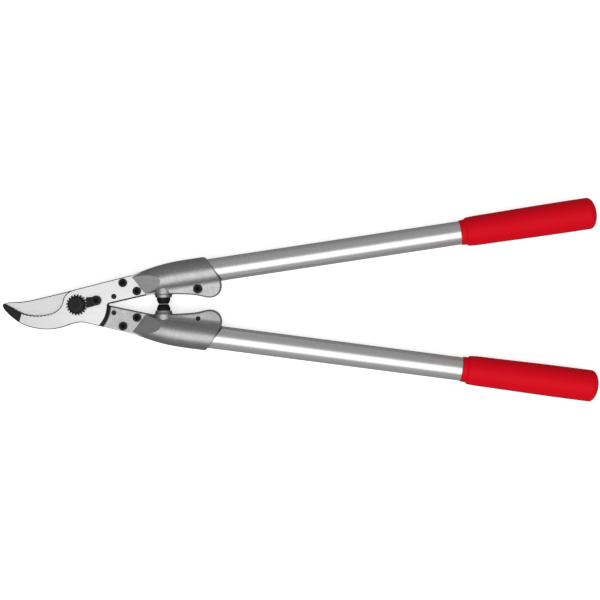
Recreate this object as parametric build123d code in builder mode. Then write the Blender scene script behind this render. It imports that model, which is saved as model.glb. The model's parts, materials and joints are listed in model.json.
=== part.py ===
"""Bypass loppers, closed and lying flat, 630 mm long.

Two arms cross at one pivot bolt. The hook arm carries the hooked counter-blade, the bolt, its toothed
adjusting nut and the nut's lock. The blade arm carries the cutting blade. Both arms use the same forged
head, tube, grip, buffer and fasteners: the blade arm's set is the hook arm's set turned half a turn about
the tool's long axis, so every such piece is modelled once, for the hook arm, and written twice.

Millimetres. +X runs from the blades to the grips, +Z is up, and Z = 0 is the bench that the tool lies on.
Outlines are drawn in the pivot's own frame: MID has its origin on the pivot's axis, midway between the
two blades. HANDLE is MID turned so that its X runs along the hook arm's tube.
"""

import os
from math import radians, tan

from build123d import *

# ---------------------------------------------------------------- driving dimensions
PIVOT_X = -236.4  # from the middle of the tool's length to the pivot
GRIP_R = 16.8
MID_HEIGHT = GRIP_R  # the grips are the thickest pieces, and lie on the bench

PLATE = 5.0  # thickness of each blade's steel
FILM = 0.05  # half of the greased gap between the two blades
TANG = 6.0  # half thickness of a forged head where a blade is bolted to it
FIT = 0.05  # radial clearance of pieces that are assembled into a hole

ARM_OUTER = ((0.0, 16.85), (57.2, 30.75))  # straight outer edge of an arm's steel
ARM_INNER_END = (73.7, 9.5)  # far end of its straight inner edge
SEAT = ((57.45, 30.75), (73.9, 9.55))  # line on the forged head that a blade's end stands against
HUB_R = 33.0  # round rear edge of each blade, about the pivot
TANG_R = 35.3  # hollow front edge of each tang, about the pivot
HUB_ANGLES = (1.2, -43.5)  # where that round edge starts and ends, in degrees
TANG_ANGLES = (1.9, 41.2)  # where the hollow edge starts and ends
CROTCH_R = 1.6
TANG_CORNER_R = 1.2
INNER_R = 1.6  # rounding of the inner edges
OUTER_R = 0.9  # rounding of the outer edges

HANDLE_ANGLE = 8.0
TUBE_OFFSET = 15.0  # from the pivot's centre line to the tube's axis
TUBE_R = 12.5
TUBE_WALL = 2.0
TUBE_START = 94.0
TUBE_END = 550.0
GRIP_START = 413.2
GRIP_END = 559.2
GRIP_NOSE = 8.7  # length of its closed round end

BOLT_R = 6.0  # pivot bolt's bearing shank
NECK_R = 5.0  # its keyed and threaded end
NECK_FLAT = 4.2  # from the axis to each of the neck's two flats
BOLT_HEAD_FLAT = 8.5
BOLT_HEAD = 5.0
WASHER_R = 11.0
WASHER = 1.5

NUT_TEETH = 20
NUT_TIP_R = 11.1
NUT_ROOT_R = 9.4
NUT_HEIGHT = 4.8
NUT_FLANGE = 3.0
NUT_FLAT = 7.0  # from the axis to each flat of the nut's hexagon
TOOTH_BASE = 1.0  # half widths of a tooth
TOOTH_TIP = 0.5
BOLT_TIP = 0.7  # the bolt stands this far out of the nut
NUT_TURN = 11.4  # direction of one tooth, in degrees

SEGMENT_SCREW = (20.8, 4.5)
SEGMENT_HEIGHT = 3.2
SEGMENT_SCREW_R = 2.5
SEGMENT_HEAD_R = 4.6
SEGMENT_HEAD = 1.8
SEGMENT_R = 5.2
MESH = 0.2  # clearance between the nut's teeth and the segment's

BLADE_BOLTS = ((48.9, 22.9), (63.75, 14.0))
BLADE_BOLT_R = 3.0
BOLT_HEAD_R = 4.6
BOLT_HEAD_HEIGHT = 2.4
HEAD_ROUND = 0.6
SLEEVE_R = 4.0
SLEEVE_SHORT = 1.0  # the sleeve ends this far under the blade
THREAD_RELIEF = 0.2
SOCKET = 4.0  # across the flats of a hexagon socket
SOCKET_DEPTH = 1.5
PIN = (39.25, 8.65)
PIN_R = 2.3
PIN_CHAMFER = 0.7
PIN_LEAD = 0.45  # chamfer of the holes that a locating pin is driven into

BUFFER_X = 91.5
BUFFER_FOOT = 6.9  # from the middle plane to the face that a buffer stands on
BUFFER_R = 7.2
BUFFER_GAP = 0.1  # from a buffer's face to the middle plane
STEM_R = 3.0
STEM = 5.5

CLAMP = (128.35, 15.7)
CLAMP_R = 2.5
CLAMP_HEAD_R = 4.8
CLAMP_HEAD = 2.6
CLAMP_FLOOR = 7.0  # from the middle plane to the spot face under the screw's head
LUG_THIN = 6.87  # half thickness that the clamp lug's sloping faces fall to, LUG_REACH from HANDLE's X
LUG_REACH = 20.0
LUG_SLOPE = 3.0  # degrees
LUG_ROUND = 2.4
VALLEY_R = 12.0  # hollow between the lug's faces and the round socket
VALLEY_START = -3.15  # where the hollow begins, from HANDLE's X
VALLEY_TURN = 40.5
SLIT = 0.8  # half width of the clamp slit
SLIT_START = 106.0  # where it starts along the tube
SPOT_MARGIN = 0.4

MID = Plane((PIVOT_X, 0, MID_HEIGHT))
HANDLE = MID.rotated((0, 0, HANDLE_ANGLE))
TUBE = Plane(HANDLE.from_local_coords((0, TUBE_OFFSET, 0)), x_dir=HANDLE.x_dir, z_dir=HANDLE.z_dir)
BUFFER = Plane(MID.from_local_coords((BUFFER_X, 0, 0)), x_dir=MID.x_dir, z_dir=MID.z_dir)
TUBE_AXIS = Axis(TUBE.origin, TUBE.x_dir)
BUFFER_AXIS = Axis(BUFFER.origin, BUFFER.y_dir)
LONG_AXIS = Axis(MID.origin, (1, 0, 0))

PLATE_TOP = FILM + PLATE
HEAD_TOP = -PLATE_TOP - FILM - WASHER  # upper face of the pivot bolt's head


def other_side(points):
    """The same points on the other side of the tool's long axis."""
    return [(x, -y) for x, y in points]


def across_tube(along, offset=TUBE_OFFSET):
    """A plane square to the hook arm's tube: its x points away from the other arm, its y points up."""
    return Plane(HANDLE.from_local_coords((along, offset, 0)), x_dir=HANDLE.y_dir, z_dir=HANDLE.x_dir)


def across_line(line, height):
    """A plane square to a straight edge at its end: its x points to the left of the edge, its y up."""
    (x0, y0), (x1, y1) = line
    along = (MID.x_dir * (x1 - x0) + MID.y_dir * (y1 - y0)).normalized()
    return Plane(MID.from_local_coords((x1, y1, height)), x_dir=MID.z_dir.cross(along), z_dir=along)


def edge_near(part, x, y, z):
    """The part's edge that passes nearest to a point of MID."""
    return part.edges().sort_by_distance(MID.from_local_coords((x, y, z)))[0]


def toothed_outline(root_r, tip_r, half_base, half_tip, mode=Mode.ADD):
    """Adds a round blank with the adjusting nut's teeth to the sketch that is being drawn, or cuts it out."""
    Circle(root_r, mode=mode)
    inside = root_r - 0.5
    tooth = [(inside, -half_base), (root_r, -half_base), (tip_r, -half_tip)]
    with PolarLocations(0, NUT_TEETH, start_angle=NUT_TURN):
        Polygon(*tooth, *other_side(tooth[::-1]), align=None, mode=mode)


def write_pair(part, name):
    """Writes the hook arm's piece, and the same piece turned over for the blade arm."""
    for arm, turn in (("upper", 0), ("lower", 180)):
        piece = part.rotate(LONG_AXIS, turn)
        piece.label = f"{arm}_{name}"
        export_step(piece, f"parts/{arm}_{name}.step")


os.makedirs("parts", exist_ok=True)

# ---------------------------------------------------------------- hooked counter-blade
HOOK_TIP = (-77.4, 2.5)
HOOK_EDGE = [  # hollow edge that holds the branch, from the tip to the shoulder over the pivot
    HOOK_TIP,
    (-70.0, -1.6),
    (-60.0, -7.3),
    (-45.0, -10.8),
    (-30.0, -9.5),
    (-20.3, -5.2),
    (-15.9, 1.0),
    (-13.6, 8.3),
    (-8.9, 13.4),
    ARM_OUTER[0],
]
HOOK_BACK = [  # round back of the hook, from beside the pivot to where its tip rounds off
    (9.0, -19.0),
    (1.5, -18.6),
    (-15.0, -23.2),
    (-31.0, -25.6),
    (-50.0, -22.8),
    (-62.0, -17.4),
    (-70.0, -11.4),
    (-76.2, -5.3),
]
HOOK_NOSE = (-79.1, -0.6)
NOTCHES = 9
NOTCH_PITCH = 3.75
NOTCH_R = 1.35  # at the outer face
NOTCH_TAPER = 12.0  # degrees that each notch narrows by, away from that face
NOTCH_START = 24.0  # along the hollow edge from the tip
GRIND = ((-60.9, -17.0), (-58.1, -7.5))  # line where the tip's ground facet begins
GRIND_ANGLE = 9.0

with BuildPart(MID) as hook_blade:
    with BuildSketch(MID.offset(FILM)):
        with BuildLine():
            hollow = Spline(*HOOK_EDGE, tangents=[(0.85, -0.5), (1, 0.243)])
            hub = CenterArc((0, 0), HUB_R, HUB_ANGLES[0], HUB_ANGLES[1] - HUB_ANGLES[0])
            Polyline(*ARM_OUTER, ARM_INNER_END, hub @ 0)
            Line(hub @ 1, HOOK_BACK[0])
            back = Spline(*HOOK_BACK, tangents=[(-1, 0.243), (-0.68, 0.73)])
            TangentArc(back @ 1, HOOK_NOSE, tangent=back % 1)
            ThreePointArc(HOOK_NOSE, (-78.7, 1.4), HOOK_TIP)
        make_face()
    extrude(amount=PLATE)
    fillet(edge_near(hook_blade, HUB_R, 0.7, PLATE / 2), CROTCH_R)
    inner_edges = [edge_near(hook_blade, *spot, PLATE_TOP) for spot in ((33.5, 1), (50, 4.5), (31, -12))]
    fillet(inner_edges, INNER_R)
    outer_spots = ((30, 24.1), (15, -20.5), (-31, -25.6))
    outer_edges = [edge_near(hook_blade, *spot, PLATE_TOP) for spot in outer_spots]
    fillet(outer_edges, OUTER_R)
    # the tip is ground down to a thin point
    with BuildSketch(across_line(GRIND, PLATE_TOP)):
        with BuildLine():
            Polyline((0, 0), (30, -30 * tan(radians(GRIND_ANGLE))), (30, 5), (0, 5), close=True)
        make_face()
    extrude(amount=30, both=True, mode=Mode.SUBTRACT)
    # short row of notches that stops a branch from sliding out
    with BuildSketch(MID.offset(PLATE_TOP)):
        for i in range(NOTCHES):
            place = hollow.position_at(NOTCH_START + i * NOTCH_PITCH, position_mode=PositionMode.LENGTH)
            with Locations(place):
                Circle(NOTCH_R)
    extrude(amount=-PLATE, taper=NOTCH_TAPER, mode=Mode.SUBTRACT)
    # keyed hole for the pivot bolt's neck
    with BuildSketch(MID):
        Circle(NECK_R + FIT)
        Rectangle(3 * NECK_R, 2 * (NECK_FLAT + FIT), mode=Mode.INTERSECT)
    extrude(amount=PLATE_TOP, mode=Mode.SUBTRACT)
    with Locations(*BLADE_BOLTS):
        Hole(BLADE_BOLT_R + FIT)
    with Locations((*PIN, PLATE_TOP)):
        CounterSinkHole(PIN_R + FIT, PIN_R + FIT + PIN_LEAD, counter_sink_angle=90)
    with Locations(SEGMENT_SCREW):
        Hole(SEGMENT_SCREW_R + FIT)
hook_blade.part.label = "hook_blade"
export_step(hook_blade.part, "parts/hook_blade.step")

# ---------------------------------------------------------------- cutting blade
BLADE_TIP = (-77.2, 2.2)
SPINE = [  # straight over the pivot, then falling to the tip
    ARM_OUTER[0],
    (-20.0, 12.0),
    (-40.0, 7.4),
    (-56.0, 4.3),
    (-66.0, 3.65),
    (-73.0, 3.5),
    BLADE_TIP,
]
BLADE_HEEL = (-12.0, -13.7)  # where the cutting edge ends
EDGE_CENTRE = (-30.4, 54.8)  # the cutting edge is an arc about this point
EDGE_R = 71.0
BEVEL = 9.5  # width of the ground bevel
LAND = 0.4  # thickness left at the edge
HEEL_DIR = (Vector(*BLADE_HEEL) - Vector(*EDGE_CENTRE)).normalized()
GRIND_AXIS_FOOT = MID.from_local_coords((*EDGE_CENTRE, -PLATE_TOP))
GRINDER = Plane(GRIND_AXIS_FOOT, x_dir=HEEL_DIR, z_dir=HEEL_DIR.cross(MID.z_dir))
GRIND_TURN = -75.0  # degrees of the arc that are ground, from the heel to past the tip

with BuildPart(MID) as cutting_blade:
    with BuildSketch(MID.offset(-PLATE_TOP)):
        with BuildLine():
            Spline(*SPINE, tangents=[(-1, -0.243), (-0.9, -0.5)])
            ThreePointArc(BLADE_TIP, (-46.7, -14.2), BLADE_HEEL)
            Spline(BLADE_HEEL, (-3.0, -16.1), (7.0, -18.55), tangents=[(1, -0.2), (1, -0.243)])
            hub = CenterArc((0, 0), HUB_R, -HUB_ANGLES[0], HUB_ANGLES[0] - HUB_ANGLES[1])
            Polyline((7.0, -18.55), *other_side([ARM_OUTER[1], ARM_INNER_END]), hub @ 0)
            Line(hub @ 1, ARM_OUTER[0])
        make_face()
    extrude(amount=PLATE)
    fillet(edge_near(cutting_blade, HUB_R, -0.7, -PLATE / 2), CROTCH_R)
    inner_edges = [edge_near(cutting_blade, *spot, -PLATE_TOP) for spot in ((33.5, -1), (50, -4.5), (31, 12))]
    fillet(inner_edges, INNER_R)
    outer_spots = ((30, -24.1), (15, 20.5), (-30, 9.7))
    outer_edges = [edge_near(cutting_blade, *spot, -PLATE_TOP) for spot in outer_spots]
    outer_edges.append(edge_near(cutting_blade, -30, 9.7, -FILM))
    fillet(outer_edges, OUTER_R)
    # the cutting edge's bevel is ground on the face that looks away from the hook
    with BuildSketch(GRINDER):
        with BuildLine():
            bevel = [(EDGE_R - BEVEL, 0), (EDGE_R, PLATE - LAND), (EDGE_R + 2, PLATE - LAND)]
            Polyline(*bevel, (EDGE_R + 2, -1), (EDGE_R - BEVEL, -1), close=True)
        make_face()
    revolve(axis=Axis(GRINDER.origin, GRINDER.y_dir), revolution_arc=GRIND_TURN, mode=Mode.SUBTRACT)
    Hole(BOLT_R + FIT)
    with Locations(*other_side(BLADE_BOLTS)):
        Hole(BLADE_BOLT_R + FIT)
    with Locations(*other_side([PIN])):
        Hole(PIN_R + FIT)
cutting_blade.part.label = "cutting_blade"
export_step(cutting_blade.part, "parts/cutting_blade.step")

# ---------------------------------------------------------------- pivot bolt, washer and adjusting nut
with BuildPart(MID) as pivot_bolt:
    with BuildSketch(MID.offset(HEAD_TOP - BOLT_HEAD)):
        RegularPolygon(BOLT_HEAD_FLAT, 6, major_radius=False)
    extrude(amount=BOLT_HEAD)
    chamfer(pivot_bolt.faces().sort_by(Axis.Z)[0].edges(), 0.7)
    with BuildSketch(MID.offset(HEAD_TOP)):
        Circle(BOLT_R)
    extrude(amount=-HEAD_TOP)
    with BuildSketch(MID):
        Circle(NECK_R)
    extrude(amount=PLATE_TOP + NUT_HEIGHT + BOLT_TIP)
    chamfer(pivot_bolt.faces().sort_by(Axis.Z)[-1].edges(), 0.6)
    # two flats fit the counter-blade's keyed hole, so that the bolt turns with it
    with BuildSketch(MID):
        with Locations((0, 2 * NECK_FLAT), (0, -2 * NECK_FLAT)):
            Rectangle(3 * NECK_R, 2 * NECK_FLAT)
    extrude(amount=PLATE_TOP, mode=Mode.SUBTRACT)
pivot_bolt.part.label = "pivot_bolt"
export_step(pivot_bolt.part, "parts/pivot_bolt.step")

with BuildPart() as pivot_washer:
    with BuildSketch(MID.offset(HEAD_TOP)):
        Circle(WASHER_R)
        Circle(BOLT_R + FIT, mode=Mode.SUBTRACT)
    extrude(amount=WASHER)
    chamfer(pivot_washer.edges().group_by(Axis.Z)[0].sort_by(SortBy.RADIUS)[-1], 0.3)
pivot_washer.part.label = "pivot_washer"
export_step(pivot_washer.part, "parts/pivot_washer.step")

with BuildPart(MID.offset(PLATE_TOP)) as toothed_nut:
    with BuildSketch(MID.offset(PLATE_TOP)):
        toothed_outline(NUT_ROOT_R, NUT_TIP_R, TOOTH_BASE, TOOTH_TIP)
    extrude(amount=NUT_FLANGE)
    chamfer(toothed_nut.edges().group_by(Axis.Z)[-1], 0.3)
    with BuildSketch(MID.offset(PLATE_TOP + NUT_FLANGE)):
        RegularPolygon(NUT_FLAT, 6, major_radius=False, rotation=NUT_TURN)
    extrude(amount=NUT_HEIGHT - NUT_FLANGE)
    chamfer(toothed_nut.edges().group_by(Axis.Z)[-1], 0.4)
    Hole(NECK_R + FIT)
toothed_nut.part.label = "toothed_nut"
export_step(toothed_nut.part, "parts/toothed_nut.step")

# ---------------------------------------------------------------- lock segment and its screw
SEGMENT_NOSE = [  # sides of the segment, from the nut's teeth to the round end
    (10.0, 7.9),
    (16.4, 8.3),
    (20.3, 9.6),
    (21.0, -0.6),
    (14.7, -2.2),
    (10.4, -3.2),
]

with BuildPart(MID.offset(PLATE_TOP)) as lock_segment:
    with BuildSketch(MID.offset(PLATE_TOP)):
        with BuildLine():
            Polyline(*SEGMENT_NOSE, close=True)
        make_face()
        with Locations(SEGMENT_SCREW):
            Circle(SEGMENT_R)
        toothed_cutter = [NUT_ROOT_R + MESH, NUT_TIP_R + MESH, TOOTH_BASE + MESH, TOOTH_TIP + MESH]
        toothed_outline(*toothed_cutter, mode=Mode.SUBTRACT)
    extrude(amount=SEGMENT_HEIGHT)
    with Locations(SEGMENT_SCREW):
        Hole(SEGMENT_SCREW_R + FIT)
lock_segment.part.label = "lock_segment"
export_step(lock_segment.part, "parts/lock_segment.step")

with BuildPart(MID) as segment_screw:
    with BuildSketch(MID.offset(FILM)):
        with Locations(SEGMENT_SCREW):
            Circle(SEGMENT_SCREW_R)
    extrude(amount=PLATE + SEGMENT_HEIGHT)
    with BuildSketch(MID.offset(PLATE_TOP + SEGMENT_HEIGHT)):
        with Locations(SEGMENT_SCREW):
            Circle(SEGMENT_HEAD_R)
    extrude(amount=SEGMENT_HEAD)
    fillet(segment_screw.edges().group_by(Axis.Z)[-1], 0.5)
    with BuildSketch(MID.offset(PLATE_TOP + SEGMENT_HEIGHT + SEGMENT_HEAD)):
        with Locations(SEGMENT_SCREW):
            RegularPolygon(SOCKET / 2, 6, major_radius=False)
    extrude(amount=-SOCKET_DEPTH, mode=Mode.SUBTRACT)
segment_screw.part.label = "segment_screw"
export_step(segment_screw.part, "parts/segment_screw.step")

# ---------------------------------------------------------------- screws, sleeve nuts and pin of a blade
with BuildPart(MID) as blade_bolts:
    with BuildSketch(MID.offset(-TANG)):
        with Locations(*BLADE_BOLTS):
            Circle(BLADE_BOLT_R)
    extrude(amount=TANG + PLATE_TOP)
    with BuildSketch(MID.offset(PLATE_TOP)):
        with Locations(*BLADE_BOLTS):
            Circle(BOLT_HEAD_R)
    extrude(amount=BOLT_HEAD_HEIGHT)
    fillet(blade_bolts.edges().group_by(Axis.Z)[-1], HEAD_ROUND)
    with BuildSketch(MID.offset(PLATE_TOP + BOLT_HEAD_HEIGHT)):
        with Locations(*BLADE_BOLTS):
            RegularPolygon(SOCKET / 2, 6, major_radius=False)
    extrude(amount=-SOCKET_DEPTH, mode=Mode.SUBTRACT)
write_pair(blade_bolts.part, "blade_bolts")

with BuildPart(MID) as blade_nuts:
    with BuildSketch(MID.offset(-TANG - BOLT_HEAD_HEIGHT)):
        with Locations(*BLADE_BOLTS):
            Circle(BOLT_HEAD_R)
    extrude(amount=BOLT_HEAD_HEIGHT)
    fillet(blade_nuts.edges().group_by(Axis.Z)[0], HEAD_ROUND)
    with BuildSketch(MID.offset(-TANG)):
        with Locations(*BLADE_BOLTS):
            Circle(SLEEVE_R)
    extrude(amount=TANG - SLEEVE_SHORT)
    with BuildSketch(MID.offset(-TANG - THREAD_RELIEF)):
        with Locations(*BLADE_BOLTS):
            Circle(BLADE_BOLT_R + FIT)
    extrude(amount=TANG, mode=Mode.SUBTRACT)
    with BuildSketch(MID.offset(-TANG - BOLT_HEAD_HEIGHT)):
        with Locations(*BLADE_BOLTS):
            RegularPolygon(SOCKET / 2, 6, major_radius=False)
    extrude(amount=SOCKET_DEPTH, mode=Mode.SUBTRACT)
write_pair(blade_nuts.part, "blade_nuts")

with BuildPart(MID) as locating_pin:
    with BuildSketch(MID.offset(-TANG)):
        with Locations(PIN):
            Circle(PIN_R)
    extrude(amount=TANG + PLATE_TOP)
    chamfer(locating_pin.edges().filter_by(GeomType.CIRCLE), PIN_CHAMFER)
write_pair(locating_pin.part, "locating_pin")

# ---------------------------------------------------------------- clamp screw in the forged head's heel
with BuildPart(MID) as clamp_screw:
    with BuildSketch(MID.offset(-CLAMP_FLOOR)):
        with Locations(CLAMP):
            Circle(CLAMP_R)
    extrude(amount=2 * CLAMP_FLOOR)
    with BuildSketch(MID.offset(CLAMP_FLOOR)):
        with Locations(CLAMP):
            Circle(CLAMP_HEAD_R)
    extrude(amount=CLAMP_HEAD)
    fillet(clamp_screw.edges().group_by(Axis.Z)[-1], HEAD_ROUND)
    with BuildSketch(MID.offset(CLAMP_FLOOR + CLAMP_HEAD)):
        with Locations(CLAMP):
            RegularPolygon(SOCKET / 2, 6, major_radius=False)
    extrude(amount=-SOCKET_DEPTH, mode=Mode.SUBTRACT)
write_pair(clamp_screw.part, "clamp_screw")

# ---------------------------------------------------------------- rubber buffer
with BuildPart() as buffer:
    with BuildSketch(BUFFER):
        with BuildLine():
            stem = [(0, BUFFER_FOOT + STEM), (STEM_R, BUFFER_FOOT + STEM), (STEM_R, BUFFER_FOOT)]
            Polyline((4.3, BUFFER_GAP), (0, BUFFER_GAP), *stem, (BUFFER_R, BUFFER_FOOT), (BUFFER_R, 5.4))
            Spline((BUFFER_R, 5.4), (6.5, 2.6), (5.5, 0.9), (4.3, BUFFER_GAP), tangents=[(0, -1), (-1, 0)])
        make_face()
    revolve(axis=BUFFER_AXIS)
write_pair(buffer.part, "buffer")

# ---------------------------------------------------------------- forged head
NECK = [  # along the tube, lowest and highest reach across it, half thickness
    (54.0, -2.6, 20.8, 7.5),
    (62.0, -1.7, 22.6, 10.2),
    (72.0, -1.0, 24.9, 12.4),
    (82.0, -0.6, 27.0, 13.9),
    (94.0, -0.4, 28.9, 14.8),
    (108.0, -0.4, 30.1, 15.2),
    (120.0, -0.4, 30.4, 15.4),
    (132.0, -0.4, 30.4, 15.4),
    (146.0, -0.3, 30.3, 15.3),
    (162.0, -0.2, 30.2, 15.2),
]
LUG_EDGE = [  # free edge of the clamp lug, from inside the boss to the heel, and on into the socket
    (92.0, 10.8),
    (112.0, 10.1),
    (124.0, 9.3),
    (132.0, 7.9),
    (139.0, 6.4),
    (145.0, 7.1),
    (150.5, 10.8),
    (153.3, 19.5),
    (152.2, 25.3),
    (148.0, 33.0),
]
SOCKET_CORNER = [(136.7, 48.1), (135.45, 49.1), (133.9, 49.3)]  # outer corner of the socket's slanting end
FACET_ANGLE = 22.0  # rise of the facets behind the seats

with BuildPart() as lug:
    with BuildSketch(MID.offset(-GRIP_R)):
        with BuildLine():
            Spline(*LUG_EDGE, tangents=[(1, -0.02), (-0.6, 1)])
            Polyline(LUG_EDGE[-1], (92.0, 33.0), LUG_EDGE[0])
        make_face()
    extrude(amount=2 * GRIP_R)
    # across the tube, its faces fall towards the free edge and rise in a hollow to the socket
    with BuildSketch(across_tube(80.0, 0)):
        slope = tan(radians(LUG_SLOPE))
        foot = (VALLEY_START, LUG_THIN + (VALLEY_START + LUG_REACH) * slope)
        with BuildLine():
            Polyline((12, 0), (-LUG_REACH, 0), (-LUG_REACH, LUG_THIN), foot)
            valley = JernArc(foot, (1, slope), VALLEY_R, VALLEY_TURN)
            Line(valley @ 1, (12, 0))
        make_face()
        mirror(about=Plane.XZ)
    extrude(amount=100, mode=Mode.INTERSECT)
    rims = [edge_near(lug, 129.6, 8.4, side * 6.9) for side in (1, -1)]
    fillet(rims, LUG_ROUND)

with BuildPart() as tang:
    with BuildSketch(MID.offset(-TANG)):
        with BuildLine():
            nose = CenterArc((0, 0), TANG_R, TANG_ANGLES[0], TANG_ANGLES[1] - TANG_ANGLES[0])
            Polyline(nose @ 1, ARM_OUTER[1], (90.0, 38.7), (90.0, 13.0), ARM_INNER_END, nose @ 0)
        make_face()
    extrude(amount=2 * TANG)
    fillet(edge_near(tang, 35.3, 1.2, 0), TANG_CORNER_R)
    inner_edges = [edge_near(tang, *spot, -TANG) for spot in ((33, 12.5), (55, 5.4))]
    fillet(inner_edges, INNER_R)

with BuildPart() as forging:
    for along, low, high, half in NECK:
        with BuildSketch(across_tube(along, (low + high) / 2)):
            Ellipse((high - low) / 2, half)
    loft()
    add(lug.part)
    add(tang.part)
    with BuildSketch(BUFFER):
        with BuildLine():
            Polyline((8.7, 7.6), (8.4, BUFFER_FOOT), (0, BUFFER_FOOT), (0, 20), (10.3, 20), (10.3, 11.0))
            ThreePointArc((8.7, 7.6), (9.1, 9.4), (10.3, 11.0))
        make_face()
    revolve(axis=BUFFER_AXIS)
    # seats of the blade, in front, and facets that rise from the seats on both sides
    with BuildSketch(across_line(SEAT, 0)):
        rise = 30 * tan(radians(FACET_ANGLE))
        with BuildLine():
            Polyline((-60, FILM), (0, FILM), (0, TANG), (30, TANG + rise), (30, 30), (-60, 30), close=True)
        make_face()
        with BuildLine():
            Polyline((-60, -TANG), (0, -TANG), (30, -TANG - rise), (30, -30), (-60, -30), close=True)
        make_face()
    extrude(amount=60, both=True, mode=Mode.SUBTRACT)
    # slanting end, bore for the tube, and clamp slit
    with BuildSketch(MID.offset(-GRIP_R)):
        with BuildLine():
            ThreePointArc(*SOCKET_CORNER)
            beyond = [(133.9, 60), (190, 60), (190, 0), (153.3, 0)]
            Polyline(SOCKET_CORNER[-1], *beyond, LUG_EDGE[-3], LUG_EDGE[-2], SOCKET_CORNER[0])
        make_face()
    extrude(amount=2 * GRIP_R, mode=Mode.SUBTRACT)
    with BuildSketch(across_tube(TUBE_START - 0.5)):
        Circle(TUBE_R + FIT)
    extrude(amount=80, mode=Mode.SUBTRACT)
    with BuildSketch(HANDLE.offset(-SLIT)):
        with Locations((SLIT_START, TUBE_OFFSET)):
            Rectangle(60, 40, align=(Align.MIN, Align.MAX))
    extrude(amount=2 * SLIT, mode=Mode.SUBTRACT)
    # holes for the clamp screw, the blade's sleeve nuts and pin, and the buffer's stem
    with BuildSketch(MID.offset(CLAMP_FLOOR)):
        with Locations(CLAMP):
            Circle(CLAMP_HEAD_R + SPOT_MARGIN)
    extrude(amount=TUBE_R, mode=Mode.SUBTRACT)
    with BuildSketch(MID):
        with Locations(CLAMP):
            Circle(CLAMP_R + FIT)
        with Locations(*BLADE_BOLTS):
            Circle(SLEEVE_R + FIT)
    extrude(amount=TUBE_R, both=True, mode=Mode.SUBTRACT)
    with Locations(MID.location * Location((*PIN, -TANG), (180, 0, 0))):
        CounterSinkHole(PIN_R + FIT, PIN_R + FIT + PIN_LEAD, counter_sink_angle=90)
    with BuildSketch(Plane(BUFFER.from_local_coords((0, BUFFER_FOOT, 0)), z_dir=BUFFER.y_dir)):
        Circle(STEM_R + FIT)
    extrude(amount=STEM + FIT, mode=Mode.SUBTRACT)
write_pair(forging.part, "forging")

# ---------------------------------------------------------------- handle tube
with BuildPart() as tube:
    with BuildSketch(across_tube(TUBE_START)):
        Circle(TUBE_R)
        Circle(TUBE_R - TUBE_WALL, mode=Mode.SUBTRACT)
    extrude(amount=TUBE_END - TUBE_START)
write_pair(tube.part, "tube")

# ---------------------------------------------------------------- grip sleeve
GRIP_COLLAR = [(GRIP_START, 12.9), (GRIP_START + 0.4, 13.3), (418.6, 13.5), (419.3, 14.6)]
GRIP_SIDE = [  # along the tube and out from its axis, from the collar's step to the round end
    (420.8, 15.2),
    (440.0, 15.85),
    (480.0, 16.4),
    (520.0, 16.75),
    (GRIP_END - GRIP_NOSE, GRIP_R),
]

with BuildPart() as grip:
    with BuildSketch(TUBE):
        with BuildLine():
            Polyline((GRIP_END, 0), (TUBE_END + 1, 0), (TUBE_END + 1, TUBE_R + FIT))
            Line((TUBE_END + 1, TUBE_R + FIT), (GRIP_START, TUBE_R + FIT))
            Polyline((GRIP_START, TUBE_R + FIT), *GRIP_COLLAR, GRIP_SIDE[0])
            Spline(*GRIP_SIDE, tangents=[(1, 0.1), (1, 0)])
            EllipticalCenterArc((GRIP_END - GRIP_NOSE, 0), GRIP_NOSE, GRIP_R, arc_size=90)
        make_face()
    revolve(axis=TUBE_AXIS)
write_pair(grip.part, "grip")
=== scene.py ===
"""The bypass loppers' looks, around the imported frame: materials, pale floor, soft studio light and camera."""

import json
import math

import bpy
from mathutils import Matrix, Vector

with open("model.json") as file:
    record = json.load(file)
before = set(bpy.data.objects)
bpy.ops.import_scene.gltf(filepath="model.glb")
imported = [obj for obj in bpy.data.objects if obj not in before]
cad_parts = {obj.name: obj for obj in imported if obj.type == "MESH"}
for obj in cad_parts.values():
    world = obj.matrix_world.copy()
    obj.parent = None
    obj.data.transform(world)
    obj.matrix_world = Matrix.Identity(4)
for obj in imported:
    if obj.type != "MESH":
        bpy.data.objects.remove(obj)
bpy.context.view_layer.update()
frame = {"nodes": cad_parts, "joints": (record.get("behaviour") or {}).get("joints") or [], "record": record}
nodes = frame["nodes"]

MM = 0.001
PIVOT = Vector(frame["joints"][0]["pos_m"])  # on the pivot's axis, midway between the blades

SOFT_EDGE = 0.1 * MM  # a ring's mask fades over this width
NOISE_ROUGHNESS = 0.55
SKY_SAMPLES = 16
COLOUR_MIX = (0, 6, 7)  # a colour mix's sockets for the factor and the two colours
COLOUR_RESULT = 2  # and its output
VALUE_MIX = (0, 2, 3)  # a value mix's sockets for the factor and the two values


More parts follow.
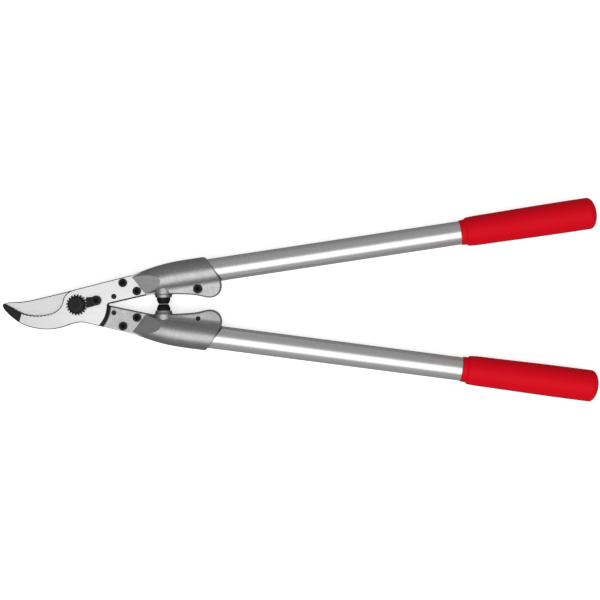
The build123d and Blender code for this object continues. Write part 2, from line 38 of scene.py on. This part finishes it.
# ---------------------------------------------------------------- material helpers
class Material:
    """A node material with a Principled shader, and short names for the nodes that the recipes use."""

    def __init__(self, name, **settings):
        self.data = bpy.data.materials.new(name)
        self.data.use_nodes = True
        self.tree = self.data.node_tree
        self.shader = self.tree.nodes["Principled BSDF"]
        for socket, value in settings.items():
            self.shader.inputs[socket.replace("_", " ")].default_value = value

    def node(self, kind, inputs=(), **attributes):
        """Adds a node; inputs maps sockets to values or to other nodes' outputs."""
        made = self.tree.nodes.new(kind)
        for key, value in attributes.items():
            setattr(made, key, value)
        for socket, value in dict(inputs).items():
            self.plug(value, made.inputs[socket])
        return made

    def plug(self, value, socket):
        """Links another node's output to the socket, or sets the socket to a plain value."""
        if isinstance(value, bpy.types.NodeSocket):
            self.tree.links.new(value, socket)
        else:
            socket.default_value = value

    def place(self):
        """Where a point of the piece is in the frame at rest, in metres, whatever pose the piece is in."""
        return self.node("ShaderNodeTexCoord").outputs["Object"]

    def across(self, axis):
        """How squarely the surface faces along that axis of the piece, either way: 1 square, 0 beside it."""
        normal = self.node("ShaderNodeTexCoord").outputs["Normal"]
        return self.maths("ABSOLUTE", self.node("ShaderNodeSeparateXYZ", {0: normal}).outputs[axis])

    def beyond(self, point, direction):
        """How far a point of the piece lies past a plane through that point, in metres."""
        from_plane = self.node("ShaderNodeVectorMath", {0: self.place(), 1: point}, operation="SUBTRACT")
        inputs = {0: from_plane.outputs[0], 1: direction}
        return self.node("ShaderNodeVectorMath", inputs, operation="DOT_PRODUCT").outputs["Value"]

    def ring(self, centre, inner, outer):
        """1 between those distances from an upright axis through that point, 0 elsewhere."""
        from_axis = self.node("ShaderNodeVectorMath", {0: self.place(), 1: centre}, operation="SUBTRACT")
        level = {0: from_axis.outputs[0], 1: (1, 1, 0)}
        flat = self.node("ShaderNodeVectorMath", level, operation="MULTIPLY")
        radius = self.node("ShaderNodeVectorMath", {0: flat.outputs[0]}, operation="LENGTH").outputs["Value"]
        past_inner = self.rising(radius, inner, inner + SOFT_EDGE)
        return self.maths("MULTIPLY", past_inner, self.falling(radius, outer - SOFT_EDGE, outer))

    def open_sky(self, reach, own_piece=True):
        """1 where nothing stands near the surface within that reach, 0 in a hole.

        With own_piece, other pieces don't count.
        """
        made = self.node("ShaderNodeAmbientOcclusion", {"Distance": reach}, samples=SKY_SAMPLES,
                         only_local=own_piece)
        return made.outputs["AO"]

    def mapped(self, scale, rotation):
        inputs = {"Vector": self.place(), "Scale": scale, "Rotation": rotation}
        return self.node("ShaderNodeMapping", inputs).outputs[0]

    def noise(self, vector, scale, detail):
        """Noise about 0.5, with that many patches to a unit of the vector, which is a metre for place()."""
        inputs = {"Vector": vector, "Scale": scale, "Detail": detail, "Roughness": NOISE_ROUGHNESS}
        return self.node("ShaderNodeTexNoise", inputs).outputs["Fac"]

    def remap(self, value, low, high, to_low, to_high):
        inputs = {"Value": value, "From Min": low, "From Max": high, "To Min": to_low, "To Max": to_high}
        return self.node("ShaderNodeMapRange", inputs).outputs[0]

    def rising(self, value, low, high):
        """0 up to the low value, 1 from the high one on."""
        return self.remap(value, low, high, 0.0, 1.0)

    def falling(self, value, low, high):
        """1 up to the low value, 0 from the high one on."""
        return self.remap(value, low, high, 1.0, 0.0)

    def maths(self, operation, a, b=0.0):
        return self.node("ShaderNodeMath", {0: a, 1: b}, operation=operation).outputs[0]

    def mix(self, factor, a, b):
        made = self.node("ShaderNodeMix", data_type="RGBA")
        for socket, value in zip(COLOUR_MIX, (factor, a, b)):
            self.plug(value, made.inputs[socket])
        return made.outputs[COLOUR_RESULT]

    def mix_value(self, factor, a, b):
        made = self.node("ShaderNodeMix", data_type="FLOAT")
        for socket, value in zip(VALUE_MIX, (factor, a, b)):
            self.plug(value, made.inputs[socket])
        return made.outputs[0]

    def bump(self, height, distance, strength):
        inputs = {"Height": height, "Distance": distance, "Strength": strength}
        return self.node("ShaderNodeBump", inputs).outputs[0]

    def set(self, **sockets):
        """Plugs values or outputs into the shader's sockets, and gives the finished material."""
        for socket, value in sockets.items():
            self.plug(value, self.shader.inputs[socket.replace("_", " ")])
        return self.data


def grey(level):
    return (level, level, level, 1.0)


# ---------------------------------------------------------------- materials
TIP_GRIND = PIVOT + Vector((-60.9, -17.0, 0.0)) * MM  # a point of the line where the hook's ground tip begins; past it the tip gets a painted dark reflection
TIP_DIRECTION = (-0.959, 0.283, 0.0)  # square to that line, towards the tip
HUB = (33.0 * MM, 35.6 * MM)  # the gap round the blades' hubs, where a shadow is painted, from the pivot's axis
EDGE_CENTRE = PIVOT + Vector((-30.4, 54.8, 0.0)) * MM  # the cutting edge is an arc about this point
BEVEL = (61.6 * MM, 72.0 * MM)  # where the edge's ground bevel lies, from that point
ROUNDED = (0.965, 0.9992)  # painted dark reflection covers the steel up to the first, and the bare steel shows from the second on, as across("Z") goes
STREAK_SCALE = (60, 2600, 60)  # grinding streaks are long along X, and fine
STREAK_TURN = math.radians(-14)  # turns the noise after it is scaled, so the streaks still run along X
STREAK_RANGE = (0.3, 0.7)  # what most of a noise lies between
HOOK_GREYS = ((0.53, 0.58), (0.43, 0.49))  # darkest and lightest, behind the pivot and at the tip
BLADE_GREYS = ((0.46, 0.51), (0.37, 0.41))  # darkest and lightest, in front of the pivot and on the tang
TO_TIP = 60 * MM  # from the pivot, where the hook's face has its last grey
TO_TANG = 50 * MM  # from the pivot, where the cutting blade's face has its last grey
GREYS_START = -10 * MM  # both faces start to change this far before the pivot


def ground_steel():
    """Blade steel, ground on its faces and bevel, with a painted dark reflection on rounded edges and the
    hook's tip, and a painted shadow in the hub's gap.
    """
    m = Material("ground_steel", Metallic=1.0)
    streaks = m.noise(m.mapped(STREAK_SCALE, (0, 0, STREAK_TURN)), scale=1.0, detail=3.0)
    blotches = m.mix_value(0.5, m.noise(m.place(), scale=70.0, detail=3.0), m.rising(streaks, *STREAK_RANGE))

    def face(greys, direction, end):
        first, last = (m.mix(blotches, grey(darkest), grey(lightest)) for darkest, lightest in greys)
        return m.mix(m.rising(m.beyond(PIVOT, direction), GREYS_START, end), first, last)

    below = m.beyond(PIVOT, (0, 0, -1))
    cutting_side = m.rising(below, -0.02 * MM, 0.02 * MM)
    hook_face = face(HOOK_GREYS, (-1, 0, 0), TO_TIP)
    blade_face = face(BLADE_GREYS, (1, 0, 0), TO_TANG)
    ground = m.mix(cutting_side, hook_face, blade_face)
    # Painted dark reflection and shade: steel turning away from the flat faces is coloured near black, except
    # on the ground bevel
    rounded = m.falling(m.across("Z"), *ROUNDED)
    bevel = m.maths("MULTIPLY", cutting_side, m.ring(EDGE_CENTRE, *BEVEL))
    painted_dark_edges = m.maths("MULTIPLY", rounded, m.maths("SUBTRACT", 1.0, bevel))
    # Painted dark reflection: the hook's ground tip facet is coloured near black
    tip = m.rising(m.beyond(TIP_GRIND, TIP_DIRECTION), 0.0, 0.15 * MM)
    painted_dark_tip = m.maths("MULTIPLY", tip, m.maths("SUBTRACT", 1.0, cutting_side))
    # Painted shadow: faces at the blades' mid-plane, behind the pivot and within the hub ring, are coloured
    # near black
    inner_face = m.falling(m.maths("ABSOLUTE", below), 0.2 * MM, 0.3 * MM)
    behind = m.rising(m.beyond(PIVOT, (1, 0, 0)), 0.0, 1.0 * MM)
    gap = m.maths("MULTIPLY", m.maths("MULTIPLY", inner_face, behind), m.ring(PIVOT, *HUB))
    # All painted light: dark reflection on edges and tip, and shadow in the hub's gap, coloured grey(0.035)
    black = m.maths("MAXIMUM", m.maths("MAXIMUM", painted_dark_edges, painted_dark_tip), gap)
    ground_roughness, black_roughness = m.remap(streaks, *STREAK_RANGE, 0.30, 0.42), 0.55
    return m.set(
        Base_Color=m.mix(black, ground, grey(0.035)),
        Roughness=m.mix_value(black, ground_roughness, black_roughness),
        Normal=m.bump(streaks, distance=0.01 * MM, strength=0.5),
    )


def black_steel():
    """Blackened steel of the fasteners: a fine grain, a painted highlight on tilted edge faces, and painted
    shade in recesses.
    """
    m = Material("black_steel", Metallic=1.0)
    grain = m.noise(m.place(), scale=1500.0, detail=2.0)
    patches = m.noise(m.place(), scale=180.0, detail=4.0)
    face = m.mix(patches, grey(0.010), grey(0.024))
    slope = m.across("Z")
    # Painted highlight: faces tilted about 25 to 55 degrees from level are coloured lighter, flecked by the
    # grain
    painted_tilt_highlight = m.maths("MULTIPLY", m.rising(slope, 0.25, 0.6), m.falling(slope, 0.9, 0.98))
    painted_tilt_highlight = m.maths("MULTIPLY", painted_tilt_highlight, m.remap(grain, 0.35, 0.6, 0.4, 1.0))
    # Painted shade: recesses hemmed in within 3 mm are coloured near black
    painted_recess_shade = m.falling(m.open_sky(3.0 * MM), 0.5, 0.97)
    return m.set(
        Base_Color=m.mix(painted_recess_shade, m.mix(painted_tilt_highlight, face, grey(0.22)), grey(0.002)),
        Roughness=m.remap(patches, 0.3, 0.7, 0.32, 0.46),
        Normal=m.bump(grain, distance=0.03 * MM, strength=0.6),
    )


def forged_aluminium():
    """Blasted forging: a fine pebbled skin, a little darker in its pits."""
    m = Material("forged_aluminium", Metallic=1.0)
    grain = m.noise(m.place(), scale=1300.0, detail=3.0)
    patches = m.noise(m.place(), scale=90.0, detail=4.0)
    mottle = m.noise(m.place(), scale=420.0, detail=3.0)
    skin = m.mix(m.rising(mottle, 0.35, 0.65), grey(0.375), grey(0.445))
    pits = m.remap(grain, 0.35, 0.6, 0.4, 0.0)
    return m.set(
        Base_Color=m.mix(pits, skin, grey(0.24)),
        Roughness=m.remap(patches, 0.3, 0.7, 0.38, 0.46),
        Normal=m.bump(grain, distance=0.10 * MM, strength=0.7),
    )


def tube_aluminium():
    """Satin anodised tube: metal under a clear milky skin, with a painted shadow where it enters another piece.
    """
    m = Material("tube_aluminium", Metallic=0.74)
    grain = m.noise(m.place(), scale=2500.0, detail=2.0)
    # Painted shadow: the tube is coloured near black close to the pieces it enters
    painted_joint_shadow = m.falling(m.open_sky(2.5 * MM, own_piece=False), 0.55, 0.9)
    return m.set(
        Base_Color=m.mix(painted_joint_shadow, m.mix(grain, grey(0.63), grey(0.70)), grey(0.04)),
        Roughness=m.remap(grain, 0.3, 0.7, 0.25, 0.33),
        Normal=m.bump(grain, distance=0.02 * MM, strength=0.4),
    )


def red_grip():
    """Smooth red vinyl with a faint orange-peel."""
    m = Material("red_grip", Metallic=0.0, Specular_IOR_Level=0.05)
    peel = m.noise(m.place(), scale=900.0, detail=2.0)
    return m.set(
        Base_Color=m.mix(peel, (0.74, 0.003, 0.012, 1), (0.83, 0.004, 0.017, 1)),
        Roughness=m.remap(peel, 0.3, 0.7, 0.42, 0.52),
        Normal=m.bump(peel, distance=0.03 * MM, strength=0.5),
    )


def black_rubber():
    """Matt black moulded rubber."""
    m = Material("black_rubber", Metallic=0.0, Specular_IOR_Level=0.15)
    grain = m.noise(m.place(), scale=1200.0, detail=3.0)
    return m.set(
        Base_Color=m.mix(grain, grey(0.004), grey(0.010)),
        Roughness=m.remap(grain, 0.3, 0.7, 0.45, 0.6),
        Normal=m.bump(grain, distance=0.04 * MM, strength=0.5),
    )


MATERIALS = {
    "ground_steel": ground_steel(),
    "black_steel": black_steel(),
    "forged_aluminium": forged_aluminium(),
    "tube_aluminium": tube_aluminium(),
    "red_grip": red_grip(),
    "black_rubber": black_rubber(),
}
for entry in frame["record"]["subparts"]:
    piece = nodes[entry["node"]]
    piece.data.materials.clear()
    piece.data.materials.append(MATERIALS[entry["material_slot"]])


# ---------------------------------------------------------------- floor
FLOOR_GLOW = 0.62  # strength of the glow that keeps the floor pale in the picture
FLOOR_SEEN = (0.90, 0.93)  # darkest and lightest grey of the floor in the picture
FLOOR_REFLECTED = 0.30  # the floor's grey for every other ray, so that it lights the tool less


def pale_floor(half_size):
    """A level square floor at Z = 0, half_size metres from its middle to each side."""
    mesh = bpy.data.meshes.new("floor")
    corners = [(x * half_size, y * half_size, 0.0) for x, y in ((-1, -1), (1, -1), (1, 1), (-1, 1))]
    mesh.from_pydata(corners, [], [(0, 1, 2, 3)])
    floor = bpy.data.objects.new("floor", mesh)
    bpy.context.scene.collection.objects.link(floor)
    m = Material("floor", Roughness=0.9)
    seen = m.node("ShaderNodeLightPath").outputs["Is Camera Ray"]
    paper = m.mix(m.noise(m.place(), scale=12.0, detail=4.0), *map(grey, FLOOR_SEEN))
    m.set(
        Base_Color=m.mix(seen, grey(FLOOR_REFLECTED), paper),
        Emission_Color=grey(1.0),
        Emission_Strength=m.maths("MULTIPLY", seen, FLOOR_GLOW),
    )
    mesh.materials.append(m.data)
    return floor


pale_floor(4.0)


# ---------------------------------------------------------------- light
KEY_LOW, KEY_HIGH = (-1.5, -2.6), (1.6, 0.30)  # opposite corners of the key light, mostly on the -Y side
KEY_HEIGHT = 2.2
KEY_RADIANCE = 1.7
ROOM_LIGHT = 0.32  # white, from all round


def softbox(name, low, high, height, radiance):
    """A level light box of that radiance, facing down, between two corners of a level plane."""
    data = bpy.data.lights.new(name, "AREA")
    data.shape = "RECTANGLE"
    data.size, data.size_y = high[0] - low[0], high[1] - low[1]
    data.energy = radiance * math.pi * data.size * data.size_y
    light = bpy.data.objects.new(name, data)
    light.location = ((low[0] + high[0]) / 2, (low[1] + high[1]) / 2, height)
    bpy.context.scene.collection.objects.link(light)


softbox("key", KEY_LOW, KEY_HIGH, KEY_HEIGHT, KEY_RADIANCE)

world = bpy.data.worlds.new("studio")
world.use_nodes = True
background = world.node_tree.nodes["Background"]
background.inputs["Color"].default_value = grey(1.0)
background.inputs["Strength"].default_value = ROOM_LIGHT
bpy.context.scene.world = world
bpy.context.scene.view_settings.view_transform = "Standard"


# ---------------------------------------------------------------- camera
CAMERA_HEIGHT = 1.77  # above the blades
FRAME_WIDTH = 0.637  # what the picture spans at the blades' height
VIEW_CENTRE = (-0.0001, 0.0028)  # of the picture, on the tool
ROLL = math.radians(-0.595)
SENSOR_WIDTH = 36.0  # millimetres, as is the lens

camera_data = bpy.data.cameras.new("camera")
camera_data.sensor_width = SENSOR_WIDTH
camera_data.lens = SENSOR_WIDTH * CAMERA_HEIGHT / FRAME_WIDTH
camera = bpy.data.objects.new("camera", camera_data)
camera.location = (VIEW_CENTRE[0], VIEW_CENTRE[1], PIVOT.z + CAMERA_HEIGHT)
camera.rotation_euler = (0.0, 0.0, ROLL)
bpy.context.scene.collection.objects.link(camera)
bpy.context.scene.camera = camera
